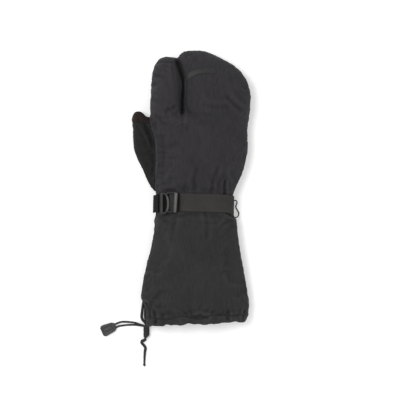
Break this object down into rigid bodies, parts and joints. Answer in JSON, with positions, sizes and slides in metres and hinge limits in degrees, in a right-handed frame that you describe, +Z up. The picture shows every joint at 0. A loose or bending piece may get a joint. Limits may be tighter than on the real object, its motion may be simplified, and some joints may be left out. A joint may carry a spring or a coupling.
{
  "type": "lobster claw mitt",
  "caption": "Insulated gauntlet overmitt with an index stall, a wide finger stall and a thumb, a buckled wrist strap, and a hem drawcord with a lock and puller, lying palm down.",
  "frame": {"origin": "on the surface that the mitt lies on, under the middle of the mitt without its hem cords", "axes": "+Y from the hem towards the finger tips, +Z up through the back of the hand, -X towards the thumb"},
  "size_m": [0.2057, 0.4322, 0.047],
  "materials": {
    "shell_cloth": "matt woven nylon, charcoal",
    "palm_cloth": "hard-wearing black palm cloth",
    "thumb_cloth": "matt woven nylon, darker than the back",
    "patch_leather": "worn dark brown leather",
    "webbing": "ribbed polyester webbing, grey black",
    "strip_rubber": "soft dark grey strip",
    "buckle_plastic": "moulded black plastic with a low gloss",
    "cord_braid": "round braided elastic, dark grey",
    "puller_rubber": "moulded mid grey puller"
  },
  "bodies": {
    "root": {"hand_back": "shell_cloth", "hand_palm": "palm_cloth", "thumb_stall": "thumb_cloth", "thumb_patch": "patch_leather", "gauntlet_back": "shell_cloth", "gauntlet_palm": "shell_cloth", "hem_band": "shell_cloth", "wrist_strap": "webbing", "strap_anchor": "webbing", "finger_strip": "strip_rubber", "buckle": "buckle_plastic", "elastic_outer": "cord_braid", "elastic_inner": "cord_braid", "pull_cord_upper": "cord_braid", "pull_cord_lower": "cord_braid", "release_tail": "cord_braid", "side_cord": "cord_braid", "cord_lock": "buckle_plastic", "cord_puller": "puller_rubber", "tail_knot": "cord_braid"}
  },
  "joints": []
}
